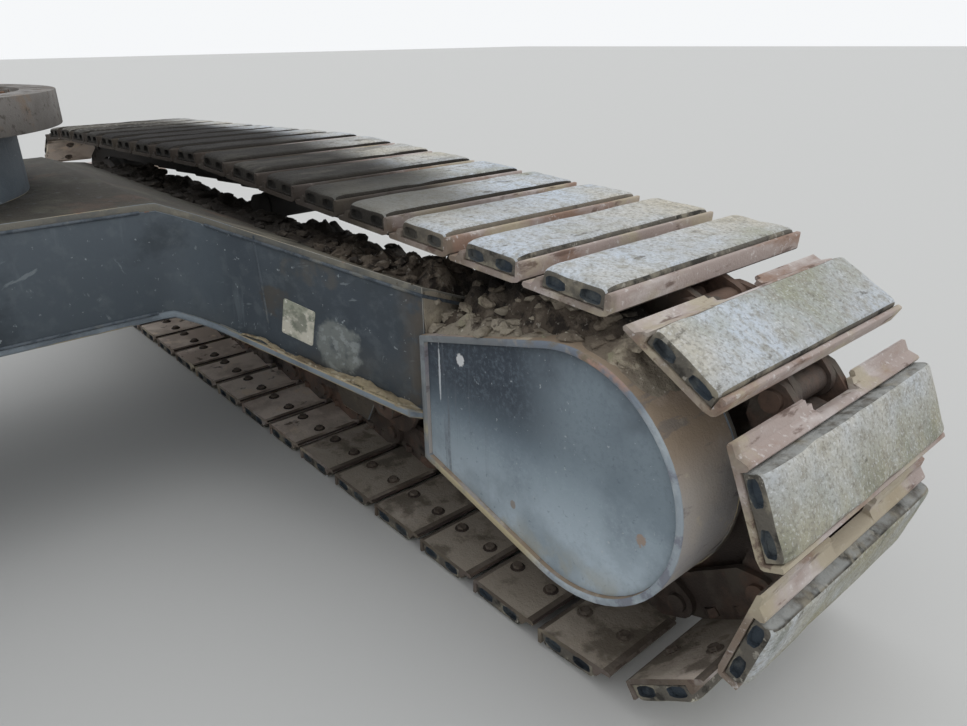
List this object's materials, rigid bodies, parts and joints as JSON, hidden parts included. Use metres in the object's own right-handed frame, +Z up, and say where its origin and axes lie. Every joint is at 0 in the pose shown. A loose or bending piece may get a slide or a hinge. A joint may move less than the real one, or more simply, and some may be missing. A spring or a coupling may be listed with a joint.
{
  "type": "crawler undercarriage of an excavator",
  "caption": "Lower structure of a crawler excavator: X-shaped car body with slewing ring, side frames, drives, idlers and tracks of steel shoes with rubber pads.",
  "frame": {"origin": "on the ground under the slewing axis, midway between the tracks", "axes": "+X forwards, from the drive sprockets to the idlers; +Y to the left; +Z up along the slewing axis"},
  "size_m": [3.4516, 2.49, 0.906],
  "materials": {
    "frame_paint": "worn matte paint with dust",
    "cover_paint": "worn matte paint, scratched",
    "track_steel": "rusty and muddy",
    "pad_rubber": "scuffed and muddy",
    "ring_steel": "machined and greased",
    "swivel_steel": "oily"
  },
  "bodies": {
    "undercarriage": {"car_body_top": "frame_paint", "car_body_bottom": "frame_paint", "car_body_rear_web": "frame_paint", "car_body_front_web": "frame_paint", "ring_seat": "frame_paint", "inner_race": "ring_steel", "swivel_joint": "swivel_steel", "right_side_frame": "frame_paint", "right_drive_mount": "frame_paint", "right_motor_guard": "frame_paint", "right_guard_cover": "cover_paint", "right_final_drive": "frame_paint", "right_sprocket": "track_steel", "right_idler": "track_steel", "right_idler_yoke": "track_steel", "right_track_rollers": "track_steel", "right_track_guides": "frame_paint", "right_carrier_roller": "track_steel", "right_chain": "track_steel", "right_shoes": "track_steel", "right_pads": "pad_rubber", "left_side_frame": "frame_paint", "left_drive_mount": "frame_paint", "left_motor_guard": "frame_paint", "left_guard_cover": "cover_paint", "left_final_drive": "frame_paint", "left_sprocket": "track_steel", "left_idler": "track_steel", "left_idler_yoke": "track_steel", "left_track_rollers": "track_steel", "left_track_guides": "frame_paint", "left_carrier_roller": "track_steel", "left_chain": "track_steel", "left_shoes": "track_steel", "left_pads": "pad_rubber"},
    "turning_race": {"outer_race": "ring_steel"}
  },
  "joints": [
    {"name": "slewing", "type": "hinge", "parent": "undercarriage", "child": "turning_race", "pos_m": [0, 0, 0.871], "axis": [0, 0, 1], "continuous": true}
  ]
}
